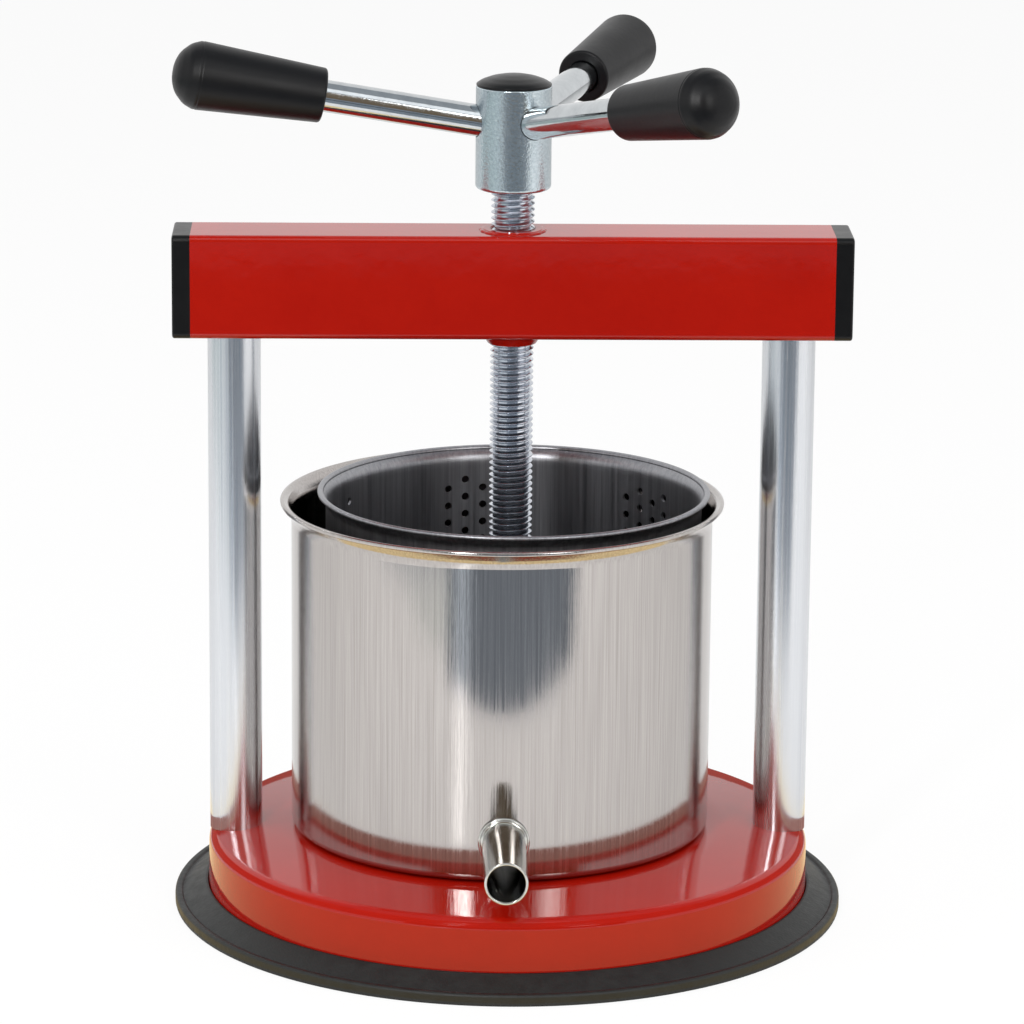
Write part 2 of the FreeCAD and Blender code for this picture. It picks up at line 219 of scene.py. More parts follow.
def box(low, high):
    bm = bmesh.new()
    bmesh.ops.create_cube(bm, size=1)
    size = Vector(high) - Vector(low)
    bmesh.ops.scale(bm, vec=size, verts=bm.verts)
    bmesh.ops.translate(bm, vec=(Vector(high) + Vector(low)) / 2, verts=bm.verts)
    return bm


def long_edges(bm):
    # Edges of a box that run along X.
    return [edge for edge in bm.edges
            if abs((edge.verts[0].co - edge.verts[1].co).normalized().x) > 0.999]


def round_edges(bm, edges, radius, segments):
    bmesh.ops.bevel(bm, geom=edges, offset=radius, affect="EDGES", segments=segments,
                    profile=0.5, material=-1, clamp_overlap=True)


beam = box((-BEAM_HALF, -BEAM_DEEP, BEAM_LOW), (BEAM_HALF, BEAM_DEEP, BEAM_HIGH))
round_edges(beam, long_edges(beam), BEAM_EDGE, 6)
ends = [face for face in beam.faces if abs(face.normal.x) > 0.9]
bmesh.ops.inset_individual(beam, faces=ends, thickness=BEAM_WALL)
for face in bmesh.ops.extrude_discrete_faces(beam, faces=ends)["faces"]:
    inwards = -BEAM_HOLLOW if face.calc_center_median().x > 0 else BEAM_HOLLOW
    bmesh.ops.translate(beam, vec=(inwards, 0, 0), verts=face.verts)
finished(beam, "painted_crossbeam", "frame", "red_paint", ["beam_tube"], sharp=50)

# %% [markdown]
# ## Bush with its weld
# The threaded bush goes through the beam and is welded and painted with it. Below the beam the
# weld draws in to a thin lip round the screw. Above, only a flat ring stands out, with a small
# bead of weld round it; two sine waves make the bead's outer radius slightly uneven.

# %% Bush
BORE, BUSH_R, BUSH_LOW, BUSH_TOP = 8.25, 11.5, 219.4, 263.1
BEAD_R = 12
RIPPLES = ((0.16, 17, 0), (0.1, 29, 1))
bush = lathe([(BORE, BUSH_LOW), (BORE + 1.0, BUSH_LOW, 0.3), (BUSH_R, BEAM_LOW, 0.6),
              (BUSH_R, BUSH_TOP - 0.5), (BUSH_R - 0.4, BUSH_TOP, 0.3),
              (BORE + 0.4, BUSH_TOP, 0.2), (BORE, BUSH_TOP - 0.5)], closed=True)
bead = lathe([(BUSH_R - 0.3, BEAM_HIGH - 0.5), (BUSH_R + 0.9, BEAM_HIGH - 0.2, 0.3),
              (BUSH_R + 1.1, BEAM_HIGH + 0.2, 0.3), (BUSH_R + 0.4, BEAM_HIGH + 0.6, 0.3),
              (BUSH_R - 0.3, BEAM_HIGH + 0.6)], closed=True)
for vert in bead.verts:
    around = math.atan2(vert.co.y, vert.co.x)
    if vert.co.xy.length > BUSH_R:
        vert.co.xy *= 1 + sum(height * math.sin(waves * around + shift)
                              for height, waves, shift in RIPPLES) / BEAD_R
add(bush, bead)
finished(bush, "welded_bush", "frame", "red_paint", ["screw_nut"])

# %% [markdown]
# ## End caps
# Black plastic plugs close the tube. The head has the tube's outline and a finely rounded front
# edge, and behind it a hollow stub grips the inside of the tube. Both plugs are made on their
# own side, so that no mirrored copy has to have its faces turned round.

# %% End caps
HEAD, HEAD_EDGE = 6.8, 0.9
STUB_END, STUB_GAP, STUB_WALL, STUB_DEPTH = 113.0, 2.2, 2.0, 6.5
for side, sign in (("left", -1), ("right", 1)):
    near, far = sorted((sign * BEAM_HALF, sign * (BEAM_HALF + HEAD)))
    plug = box((near, -BEAM_DEEP, BEAM_LOW), (far, BEAM_DEEP, BEAM_HIGH))
    round_edges(plug, long_edges(plug), BEAM_EDGE, 6)
    front = [edge for edge in plug.edges
             if all(abs(abs(vert.co.x) - BEAM_HALF - HEAD) < 0.01 for vert in edge.verts)]
    round_edges(plug, front, HEAD_EDGE, 4)
    near, far = sorted((sign * BEAM_HALF, sign * STUB_END))
    stub = box((near, STUB_GAP - BEAM_DEEP, BEAM_LOW + STUB_GAP),
               (far, BEAM_DEEP - STUB_GAP, BEAM_HIGH - STUB_GAP))
    inner = [face for face in stub.faces if face.normal.x * sign < -0.9]
    bmesh.ops.inset_individual(stub, faces=inner, thickness=STUB_WALL)
    bmesh.ops.translate(stub, vec=(sign * STUB_DEPTH, 0, 0),
                        verts=list({vert for face in inner for vert in face.verts}))
    add(plug, stub)
    finished(plug, f"plug_{side}", "frame", "black_cap_plastic", [f"end_cap_{side}"], sharp=50)

# %% [markdown]
# ## Threaded spindle
# One pitch of the thread's outline is spun for one turn while it climbs by a pitch, which is
# what a die does to a rod. That turn is copied upwards until it is long enough. Two plane cuts
# trim the helix, and the cut loops are filled. Below it the neck and the journal are turned,
# which sit in the thrust cup.

# %% Thread
PITCH, CREST, ROOT = 2.3, 8.2, 6.95
THREAD_LOW, THREAD_HIGH, THREAD_STEPS = 79.4, 294.1, 40


def threaded(low, high):
    turn = chain(bmesh.new(), [(ROOT, 0), (ROOT, 0.35), (CREST - 0.12, 1.0), (CREST, 1.12),
                               (CREST, 1.35), (CREST - 0.12, 1.47), (ROOT, PITCH - 0.18),
                               (ROOT, PITCH)])
    bmesh.ops.spin(turn, geom=turn.verts[:] + turn.edges[:], cent=(0, 0, 0), axis=(0, 0, 1),
                   dvec=(0, 0, PITCH / THREAD_STEPS), angle=math.tau, steps=THREAD_STEPS,
                   use_merge=False)
    bmesh.ops.translate(turn, vec=(0, 0, low - PITCH * 1.5), verts=turn.verts)
    carrier = bpy.data.meshes.new("one_turn")
    turn.to_mesh(carrier)
    turn.free()
    bm = bmesh.new()
    for _ in range(math.ceil((high - low) / PITCH) + 3):
        bm.from_mesh(carrier)
        carrier.transform(Matrix.Translation((0, 0, PITCH)))
    bpy.data.meshes.remove(carrier)
    bmesh.ops.remove_doubles(bm, verts=bm.verts, dist=1e-3)
    for height, outwards in ((low, -1), (high, 1)):
        cut = bmesh.ops.bisect_plane(bm, geom=bm.verts[:] + bm.edges[:] + bm.faces[:],
                                     dist=1e-5, plane_co=(0, 0, height),
                                     plane_no=(0, 0, outwards), clear_outer=True)
        bmesh.ops.contextual_create(bm, geom=only(cut["geom_cut"], bmesh.types.BMEdge))
    bmesh.ops.recalc_face_normals(bm, faces=bm.faces)
    return bm


spindle = threaded(THREAD_LOW, THREAD_HIGH)
print("thread:", round((THREAD_HIGH - THREAD_LOW) / PITCH, 1), "turns of", PITCH, "mm")

# %% Neck and journal
JOURNAL_R, JOURNAL_LOW, NECK_R, NECK_LOW = 7.7, 60.3, 5.6, 75.2
lathe([(0, JOURNAL_LOW), (JOURNAL_R, JOURNAL_LOW, 0.8), (JOURNAL_R, NECK_LOW), (NECK_R, NECK_LOW),
       (NECK_R, THREAD_LOW + 0.2), (0, THREAD_LOW + 0.2)], steps=48, bm=spindle)
finished(spindle, "threaded_spindle", "spindle", "zinc_thread", ["screw"], sharp=40)

# %% [markdown]
# ## Handles' directions
# Three rods go into the hub at one height, each with its own direction and its own rise, as on
# a press that was put together by hand. A part of a handle is built along Z from the hub's
# centre, because that is where a lathe makes it, and then laid along its rod.

# %% Directions of the three handles
HUB_CENTRE = 301.6
HANDLES = {"left": (186.5, 10.0), "front": (304.6, 12.0), "rear": (67.1, 6.5)}


def handle_frame(name):
    azimuth, rise = HANDLES[name]
    return (Matrix.Translation((0, 0, HUB_CENTRE))
            @ Matrix.Rotation(math.radians(azimuth), 4, "Z")
            @ Matrix.Rotation(math.radians(90 - rise), 4, "Y"))


print("handles (azimuth, rise in degrees):", HANDLES)

# %% [markdown]
# ## Hub
# The hub is a zinc-plated barrel, bored crosswise for three rods. The holes are cut with a
# Boolean modifier, a little wider than the rods, because the dark line round each rod is what
# tells the eye that the rod goes into the hub.

# %% Cutting one shape out of another


def cut_away(piece, cutters):
    # Subtract bodies in mm from a piece. The old shading goes first, and is made anew after.
    normals = piece.data.attributes.get("custom_normal")
    if normals:
        piece.data.attributes.remove(normals)
    cutters = [in_metres(cutter, "cutter") for cutter in cutters]
    for cutter in cutters:
        modifier = piece.modifiers.new("hole", "BOOLEAN")
        modifier.object = cutter
        modifier.solver = "EXACT"
    shaded(piece, 35)
    for cutter in cutters:
        bpy.data.objects.remove(cutter)
    print(f"{piece.name}: {len(piece.data.polygons)} faces after the cut")


# %% Hub
HUB_R, HUB_LOW, HUB_HIGH, HUB_EYE = 14.2, 278.1, 317.0, 8.3
ROD_HOLE, DRILL_IN, DRILL_OUT = 6.22, 7.0, 24.0
hub = lathe([(0, HUB_LOW), (HUB_EYE, HUB_LOW), (HUB_R, HUB_LOW, 1.6), (HUB_R, HUB_HIGH, 0.5),
             (0, HUB_HIGH)], steps=128)
barrel = finished(hub, "handle_hub", "spindle", "zinc_hub", ["hub"])
cut_away(barrel, [laid(lathe([(0, DRILL_IN), (ROD_HOLE, DRILL_IN), (ROD_HOLE, DRILL_OUT),
                              (0, DRILL_OUT)], steps=48), handle_frame(name))
                  for name in HANDLES])

# %% [markdown]
# ## Hub cap
# A black plastic cap closes the barrel: a short peg below, a narrow rim and a low dome. The
# dome is a chain of short runs whose corners are rounded so widely that they flow together.

# %% Hub cap
CAP_PEG_R, CAP_PEG = 4.0, 5.0
cap = lathe([(0, HUB_HIGH - CAP_PEG), (CAP_PEG_R, HUB_HIGH - CAP_PEG), (CAP_PEG_R, HUB_HIGH),
             (14.0, HUB_HIGH + 0.02, 0.2), (14.1, HUB_HIGH + 0.7, 0.3),
             (12.3, HUB_HIGH + 1.95, 7.0), (8.6, HUB_HIGH + 3.3, 12.0),
             (4.2, HUB_HIGH + 4.2, 16.0), (0, HUB_HIGH + 4.4)])
finished(cap, "hub_dome", "spindle", "black_cap_plastic", ["hub_cap"], sharp=60)

# %% [markdown]
# ## Grips
# Each rod ends in a moulded grip: a cone that widens outwards and ends in a dome. The edges are
# slightly rounded, and a shallow parting crease runs where cone and dome meet. The bore for the
# rod is turned as a second skin and merged with the first at the grip's inner end.

# %% Grips
GRIP_START, GRIP_BODY, GRIP_DOME, GRIP_BORE_END = 72.4, 46.9, 9.8, 38.2
R_IN, R_OUT, R_ROD = 10.2, 12.8, 6.05
PART = GRIP_START + GRIP_BODY
for name in HANDLES:
    grip = lathe([(R_ROD, GRIP_START + 0.6), (6.5, GRIP_START, 0.2), (R_IN, GRIP_START, 1.1),
                  (R_OUT - 0.02, PART - 0.5, 0.5), (R_OUT - 0.16, PART - 0.1, 0.1),
                  (R_OUT, PART + 0.5, 2.0), (R_OUT - 1.5, PART + 4.2, 6.0),
                  (R_OUT - 5.2, PART + 8.0, 8.0), (R_OUT - 9.2, PART + 9.5, 10.0),
                  (0, PART + GRIP_DOME)], steps=80)
    lathe([(0, GRIP_START + GRIP_BORE_END), (R_ROD, GRIP_START + GRIP_BORE_END),
           (R_ROD, GRIP_START + 0.6)], steps=80, bm=grip)
    merged(grip, 1e-3)
    laid(grip, handle_frame(name))
    finished(grip, f"grip_{name}", "spindle", "black_grip_plastic", [f"handle_grip_{name}"],
             sharp=30)

# %% [markdown]
# ## Pot
# The pot is drawn from one sheet: a flat floor, a tight corner, a straight wall, and a flared
# lip that is rolled outwards into a round edge. The chain goes up the outside, round the curl
# and down the inside, so that the sheet has its thickness everywhere.

# %% Pot
POT_X, POT_R, POT_FLOOR, POT_SHEET, POT_FLARE = -3.2, 80.0, 31.4, 1.0, 153.2
POT_IN, POT_BED = POT_R - POT_SHEET, POT_FLOOR + POT_SHEET
CURL = [(82.5, 157.4, 1.2), (82.9, 157.4, 0.2), (83.4, 157.0, 0.4), (84.2, 157.4, 0.5),
        (84.3, 158.6, 0.5), (83.2, 159.0, 0.8), (81.4, 158.2, 2.0)]
pot = lathe([(0, POT_FLOOR), (POT_R, POT_FLOOR, 3.2), (POT_R, POT_FLARE, 8.0), *CURL,
             (POT_IN, POT_FLARE + 0.2, 8.0), (POT_IN, POT_BED, 2.2), (0, POT_BED)],
            steps=192, centre=(POT_X, 0))
vessel = finished(pot, "pot_vessel", "pot", "pot_steel", ["pot_shell"], sharp=45)

# %% [markdown]
# ## Spout
# A short steel tube is pushed through a hole in the pot and held by a thin welded collar. The
# tube is cut square, with a bright, slightly rounded lip. Hole, tube and collar are built along
# Z and laid forward. The collar is cut with the pot's own cylinder, so that it follows the wall.

# %% Spout and collar
SPOUT_Z, SPOUT_TIP, SPOUT_HOLE, SPOUT_BORE, COLLAR_R = 47.4, 129.6, 7.8, 7.0, 9.6
FORWARD = Matrix.Translation((POT_X, 0, SPOUT_Z)) @ Matrix.Rotation(math.radians(90), 4, "X")
cut_away(vessel, [laid(lathe([(0, 60.0), (SPOUT_HOLE, 60.0), (SPOUT_HOLE, 95.0), (0, 95.0)],
                             steps=64), FORWARD)])
tube = lathe([(SPOUT_BORE, 79.2), (7.75, 79.2), (7.75, 81.9), (8.1, 82.1, 0.15),
              (8.0, SPOUT_TIP, 0.3), (SPOUT_BORE, SPOUT_TIP, 0.3)], steps=72, closed=True)
finished(laid(tube, FORWARD), "spout_pipe", "pot", "spout_steel", ["spout_tube"])
collar = lathe([(SPOUT_HOLE, 76.0), (COLLAR_R, 76.0), (COLLAR_R, 80.9, 0.4), (9.1, 81.4, 0.2),
                (8.8, 81.1, 0.15), (8.7, 81.9, 0.3), (8.1, 82.1, 0.2), (SPOUT_HOLE, 82.1)],
               steps=72, closed=True)
weld = finished(laid(collar, FORWARD), "spout_weld", "pot", "spout_steel", ["spout_collar"])
cut_away(weld, [lathe([(0, 30), (POT_R + 0.02, 30), (POT_R + 0.02, 100), (0, 100)], steps=192,
                      centre=(POT_X, 0))])

# %% [markdown]
# ## Basket
# The basket's wall is a punched sheet. One cell of the punching pattern, a square with a round
# hole, is made once and copied down a column; neighbouring columns are shifted by half a cell.
# Six groups of four columns stand round the basket, with plain sheet between them. The sheet is
# made flat first, because there the pattern is a simple grid.

# %% One punched cell and the flat sheet
BASKET_X, BASKET_R, SHEET = 1.2, 70.4, 1.0
COLUMN, ROW, ROWS, COLUMNS, GROUPS = 7.0, 6.9, 16, 4, 6
HOLE_R, HOLE_SIDES, TOP_HOLE = 1.5, 16, 146.0
QUARTER = ROW / 4
SHEET_TOP = TOP_HOLE + 6 * QUARTER
SHEET_LOW = SHEET_TOP - 71 * QUARTER
SECTOR = math.tau / GROUPS * BASKET_R


def punched_cell():
    # A round hole whose edge is drawn out to the outline of a square.
    cell = bmesh.new()
    bmesh.ops.create_circle(cell, segments=HOLE_SIDES, radius=HOLE_R, cap_ends=False)
    skirt = bmesh.ops.extrude_edge_only(cell, edges=cell.edges[:])["geom"]
    for vert in only(skirt, bmesh.types.BMVert):
        spoke = round(math.atan2(vert.co.y, vert.co.x) / (math.tau / HOLE_SIDES))
        side, step = divmod(spoke + 2, 4)
        reach = Vector((1, (step - 2) / 2))
        reach.rotate(Matrix.Rotation(side * math.pi / 2, 2))
        vert.co = (reach.x * COLUMN / 2, reach.y * ROW / 2, 0)
    mesh = bpy.data.meshes.new("cell")
    cell.to_mesh(mesh)
    cell.free()
    return mesh


def plain(bm, left, right, low, high, across):
    # A flat patch of sheet: a unit grid scaled to its place.
    down = round((high - low) / QUARTER)
    patch = bmesh.ops.create_grid(bm, x_segments=across, y_segments=down, size=0.5)["verts"]
    bmesh.ops.scale(bm, vec=(right - left, high - low, 1), verts=patch)
    bmesh.ops.translate(bm, vec=((left + right) / 2, (low + high) / 2, 0), verts=patch)


def punched_column(bm, cell, x, top_hole):
    # Cells from the top hole downwards, then plain strips that fill up to both ends.
    for row in range(ROWS):
        before = len(bm.verts)
        bm.from_mesh(cell)
        bm.verts.ensure_lookup_table()
        bmesh.ops.translate(bm, vec=(x, top_hole - row * ROW, 0), verts=bm.verts[before:])
    left, right = x - COLUMN / 2, x + COLUMN / 2
    plain(bm, left, right, top_hole + ROW / 2, SHEET_TOP, 4)
    plain(bm, left, right, SHEET_LOW, top_hole - (ROWS - 0.5) * ROW, 4)


sheet = bmesh.new()
stamp = punched_cell()
for sector in range(GROUPS):
    start = sector * SECTOR
    for column in range(COLUMNS):
        shift = ROW / 2 if column % 2 else 0
        punched_column(sheet, stamp, start + (column + 0.5) * COLUMN, TOP_HOLE + shift)
    plain(sheet, start + COLUMNS * COLUMN, start + SECTOR, SHEET_LOW, SHEET_TOP, 12)
bpy.data.meshes.remove(stamp)
print("flat sheet:", len(sheet.faces), "faces,", ROWS * COLUMNS * GROUPS, "holes")

# %% [markdown]
# The flat sheet is rolled into a tube. The flared lip is drawn up from its top edge and a plain
# foot down from its lower one. Solidify then gives it the thickness of the sheet, which also
# makes the walls of the holes, and a small turned ring is the curl at the lip's edge.

# %% Roll the sheet, draw the lip and give it thickness
FIRST_GROUP, WALL_LOW = 101.5, 32.7
LIP = [(70.55, 157.8), (70.95, 158.9), (71.55, 159.9), (72.2, 160.7), (72.75, 161.3)]
ROLL = [(72.1, 161.0, 0.4), (73.2, 160.5, 0.6), (74.4, 160.7, 0.6), (74.6, 162.0, 0.7),
        (73.6, 162.5, 0.8), (72.4, 162.0, 0.6)]


def at_height(edge, *heights):
    # Whether both ends of an edge lie at one of the heights.
    return all(min(abs(vert.co.z - height) for height in heights) < 0.01 for vert in edge.verts)


def drawn(bm, start_height, rings):
    # Pull the open edge at one height out through further rings of (radius, height).
    open_edge = [edge for edge in bm.edges if edge.is_boundary and at_height(edge, start_height)]
    for radius, height in rings:
        grown = bmesh.ops.extrude_edge_only(bm, edges=open_edge)["geom"]
        for vert in only(grown, bmesh.types.BMVert):
            vert.co.xy *= radius / vert.co.xy.length
            vert.co.z = height
        open_edge = [edge for edge in only(grown, bmesh.types.BMEdge) if at_height(edge, height)]


turn_start = math.radians(FIRST_GROUP) + COLUMNS / 2 * COLUMN / BASKET_R
for vert in sheet.verts:
    around = turn_start - vert.co.x / BASKET_R
    vert.co = (BASKET_R * math.cos(around), BASKET_R * math.sin(around), vert.co.y)
bmesh.ops.remove_doubles(sheet, verts=sheet.verts, dist=0.02)
drawn(sheet, SHEET_TOP, LIP)
drawn(sheet, SHEET_LOW, [(BASKET_R, WALL_LOW)])
inner_edges = [edge for edge in sheet.edges
               if edge.is_boundary and not at_height(edge, WALL_LOW, LIP[-1][1])]
print("open edges at the holes:", len(inner_edges), "for", ROWS * COLUMNS * GROUPS * HOLE_SIDES)
bmesh.ops.recalc_face_normals(sheet, faces=sheet.faces)
bmesh.ops.solidify(sheet, geom=sheet.faces[:], thickness=SHEET)
bmesh.ops.translate(sheet, vec=(BASKET_X, 0, 0), verts=sheet.verts)
lathe(ROLL, steps=192, closed=True, centre=(BASKET_X, 0), bm=sheet)
finished(sheet, "punched_basket", "basket", "basket_steel", ["basket_wall"], sharp=45)

# %% [markdown]
# ## Shared effects
# Every finish is procedural. Effects that several finishes share are node groups, built once: a
# soft bump for paint and plastic, long streaks for brushed metal, and a mottle for plating. A
# group reads the place on the object, so its pattern moves with the piece and has a real scale.

# %% Helpers for node trees


def effect_tree(name, inputs, outputs):
    tree = bpy.data.node_groups.new(name, "ShaderNodeTree")
    for label, kind, value in inputs:
        socket = tree.interface.new_socket(label, in_out="INPUT", socket_type=kind)
        if value is not None:
            socket.default_value = value
    for label, kind in outputs:
        tree.interface.new_socket(label, in_out="OUTPUT", socket_type=kind)
    return tree, tree.nodes.new("NodeGroupInput"), tree.nodes.new("NodeGroupOutput")


def node(tree, kind, links=None, **settings):
    # Add a node and set its properties; each input gets a link or a plain value.
    made = tree.nodes.new(kind)
    for key, value in settings.items():
        setattr(made, key, value)
    for socket, source in (links or {}).items():
        if isinstance(source, bpy.types.NodeSocket):
            tree.links.new(source, made.inputs[socket])
        else:
            made.inputs[socket].default_value = source
    return made


# %% The three effects
STREAK_BUMP, PEEL_BUMP = 0.0002, 0.0004


def streak_group():
    # Noise that is squeezed across the grain and drawn out along it.
    tree, ins, outs = effect_tree("brushed_streaks", [
        ("Coordinates", "NodeSocketVector", None), ("Grain", "NodeSocketVector", (900, 900, 12)),
        ("Depth", "NodeSocketFloat", 0.2)],
        [("Streaks", "NodeSocketFloat"), ("Normal", "NodeSocketVector")])
    fine = node(tree, "ShaderNodeVectorMath", {0: ins.outputs[0], 1: ins.outputs[1]},
                operation="MULTIPLY")
    noise = node(tree, "ShaderNodeTexNoise", {"Vector": fine.outputs[0], "Scale": 1.0,
                                              "Detail": 4.0, "Roughness": 0.65})
    strong = node(tree, "ShaderNodeMapRange", {"Value": noise.outputs[0], "From Min": 0.3,
                                               "From Max": 0.7})
    bump = node(tree, "ShaderNodeBump", {"Strength": ins.outputs[2], "Distance": STREAK_BUMP,
                                         "Height": noise.outputs[0]})
    tree.links.new(strong.outputs[0], outs.inputs[0])
    tree.links.new(bump.outputs[0], outs.inputs[1])
    return tree


def mottle_group():
    # Soft patches, spread about the middle by a contrast.
    tree, ins, outs = effect_tree("mottle", [
        ("Coordinates", "NodeSocketVector", None), ("Scale", "NodeSocketFloat", 400.0),
        ("Contrast", "NodeSocketFloat", 2.0)], [("Mask", "NodeSocketFloat")])
    noise = node(tree, "ShaderNodeTexNoise", {"Vector": ins.outputs[0], "Scale": ins.outputs[1],
                                              "Detail": 5.0, "Roughness": 0.7})
    centred = node(tree, "ShaderNodeMath", {0: noise.outputs[0], 1: 0.5}, operation="SUBTRACT")
    spread = node(tree, "ShaderNodeMath", {0: centred.outputs[0], 1: ins.outputs[2], 2: 0.5},
                  operation="MULTIPLY_ADD", use_clamp=True)
    tree.links.new(spread.outputs[0], outs.inputs[0])
    return tree


def peel_group():
    # The slight unevenness of sprayed paint and moulded plastic.
    tree, ins, outs = effect_tree("soft_bump", [
        ("Coordinates", "NodeSocketVector", None), ("Scale", "NodeSocketFloat", 300.0),
        ("Depth", "NodeSocketFloat", 0.1)], [("Normal", "NodeSocketVector")])
    noise = node(tree, "ShaderNodeTexNoise", {"Vector": ins.outputs[0], "Scale": ins.outputs[1],
                                              "Detail": 2.0})
    bump = node(tree, "ShaderNodeBump", {"Strength": ins.outputs[2], "Distance": PEEL_BUMP,
                                         "Height": noise.outputs[0]})
    tree.links.new(bump.outputs[0], outs.inputs[0])
    return tree


STREAKS, MOTTLE, PEEL = streak_group(), mottle_group(), peel_group()
print("groups:", STREAKS.name, MOTTLE.name, PEEL.name)

# %% [markdown]
# ## Finishes
# A finish is one material with a Principled shader. Values that are the same all over are set
# on the shader itself; only what changes over the surface comes in through a link. A finish is
# put on every piece that was noted under its slot.

# %% Helper for one finish
FINISHES = {}


def srgb(red, green, blue):
    # The eye's 0..255 numbers as the linear colour that a shader expects.
    parts = (part / 255 for part in (red, green, blue))
    return (*(part / 12.92 if part <= 0.04045 else ((part + 0.055) / 1.055) ** 2.4
              for part in parts), 1.0)


class Finish:
    def __init__(self, slot, colour, **values):
        self.material = bpy.data.materials.new(slot)
        self.material.use_nodes = True
        self.tree = self.material.node_tree
        self.shader = self.tree.nodes["Principled BSDF"]
        self.shader.inputs["Base Color"].default_value = srgb(*colour)
        for key, value in values.items():
            self.shader.inputs[key.replace("_", " ")].default_value = value
        self.here = node(self.tree, "ShaderNodeTexCoord").outputs["Object"]
        wearers = WEARERS.get(slot, [])
        for piece in wearers:
            piece.data.materials.clear()
            piece.data.materials.append(self.material)
        FINISHES[slot] = self
        print(f"{slot}: on {len(wearers)} new pieces")

    def use(self, effect, **values):
        # Place a shared effect with this finish's own values.
        made = node(self.tree, "ShaderNodeGroup")
        made.node_tree = effect
        self.tree.links.new(self.here, made.inputs["Coordinates"])
        for key, value in values.items():
            made.inputs[key].default_value = value
        return made

    def ramp(self, factor, low, high, socket):
        # Map a 0..1 mask on to a range of one shader value.
        mapped = node(self.tree, "ShaderNodeMapRange",
                      {"Value": factor, "To Min": low, "To Max": high})
        self.tree.links.new(mapped.outputs[0], self.shader.inputs[socket])

    def blend(self, factor, first, second):
        # Base colour between two colours, by a mask.
        mixed = node(self.tree, "ShaderNodeMix", data_type="RGBA")
        self.tree.links.new(factor, mixed.inputs["Factor"])
        mixed.inputs[6].default_value = srgb(*first)
        mixed.inputs[7].default_value = srgb(*second)
        self.tree.links.new(mixed.outputs[2], self.shader.inputs["Base Color"])

    def normal(self, socket):
        self.tree.links.new(socket, self.shader.inputs["Normal"])


# %% [markdown]
# ## Red paint
# Base, beam and bush wear one glossy enamel. It mirrors almost cleanly, so only a faint wave
# of sprayed paint and a slight change of tone keep it from looking like glass.

# %% Red paint
red = Finish("red_paint", (157, 19, 7), Roughness=0.06, Specular_IOR_Level=0.4)
patches = red.use(MOTTLE, Scale=40.0, Contrast=1.2)
red.blend(patches.outputs["Mask"], (151, 15, 5), (163, 22, 8))
red.normal(red.use(PEEL, Scale=120.0, Depth=0.08).outputs["Normal"])

# %% [markdown]
# ## Rubber and plastics
# The ring is dull rubber with a fine grain and a little dust, which changes its tone and its
# roughness together. Caps and grips are moulded: darker and smoother, with smears that only
# show in the highlights.

# %% Rubber and plastics
rubber = Finish("rubber", (20, 22, 21), Roughness=0.5, Specular_IOR_Level=0.45)
dust = rubber.use(MOTTLE, Scale=220.0, Contrast=2.0)
rubber.blend(dust.outputs["Mask"], (14, 16, 15), (28, 31, 30))
rubber.ramp(dust.outputs["Mask"], 0.42, 0.62, "Roughness")
rubber.normal(rubber.use(PEEL, Scale=900.0, Depth=0.25).outputs["Normal"])
for slot, rough, colour in (("black_cap_plastic", 0.3, (9, 9, 10)),
                            ("black_grip_plastic", 0.36, (11, 11, 13))):
    plastic = Finish(slot, colour, Roughness=rough, Specular_IOR_Level=0.25)
    smears = plastic.use(MOTTLE, Scale=90.0, Contrast=1.6)
    plastic.ramp(smears.outputs["Mask"], rough - 0.05, rough + 0.08, "Roughness")
    plastic.normal(plastic.use(PEEL, Scale=500.0, Depth=0.08).outputs["Normal"])

# %% [markdown]
# ## Aluminium pillars
# The pillars are drawn bar: fine lines run along them, which spread the mirrored light to the
# sides. The grain is therefore fine in X and Y and long in Z.

# %% Aluminium pillars
aluminium = Finish("pillar_aluminium", (212, 214, 218), Metallic=1.0, Roughness=0.24)
pulled = aluminium.use(STREAKS, Grain=(1100.0, 1100.0, 5.0), Depth=0.25)
aluminium.blend(pulled.outputs["Streaks"], (206, 209, 214), (225, 227, 230))
aluminium.ramp(pulled.outputs["Streaks"], 0.17, 0.3, "Roughness")
aluminium.normal(pulled.outputs["Normal"])

# %% [markdown]
# ## Zinc and chrome
# The hub's plating has coarse spangles that catch the light one by one. Thread, rods and
# fasteners are plated more evenly, and differ in how polished and how pale they are.

# %% Zinc and chrome
zinc = Finish("zinc_hub", (196, 204, 206), Metallic=1.0, Roughness=0.22)
spangle = zinc.use(MOTTLE, Scale=1100.0, Contrast=2.4)
zinc.blend(spangle.outputs["Mask"], (176, 190, 198), (216, 226, 230))
zinc.ramp(spangle.outputs["Mask"], 0.26, 0.14, "Roughness")
zinc.normal(zinc.use(PEEL, Scale=1300.0, Depth=0.26).outputs["Normal"])
for slot, rough, pale, dark in (("zinc_thread", 0.15, (224, 228, 235), (176, 181, 190)),
                                ("rod_chrome", 0.08, (208, 212, 214), (188, 192, 195)),
                                ("fastener_zinc", 0.28, (200, 202, 198), (170, 174, 172))):
    plating = Finish(slot, pale, Metallic=1.0, Roughness=rough)
    stain = plating.use(MOTTLE, Scale=160.0, Contrast=2.0)
    plating.blend(stain.outputs["Mask"], dark, pale)
    plating.ramp(stain.outputs["Mask"], rough + 0.08, max(rough - 0.04, 0.03), "Roughness")
    plating.normal(plating.use(PEEL, Scale=600.0, Depth=0.05).outputs["Normal"])

# %% [markdown]
# ## Stainless steel
# Pot and basket are brushed upright, so their streaks run up and down. The spout's streaks run
# along Y, its own length. The plate of the press foot is dull all over.

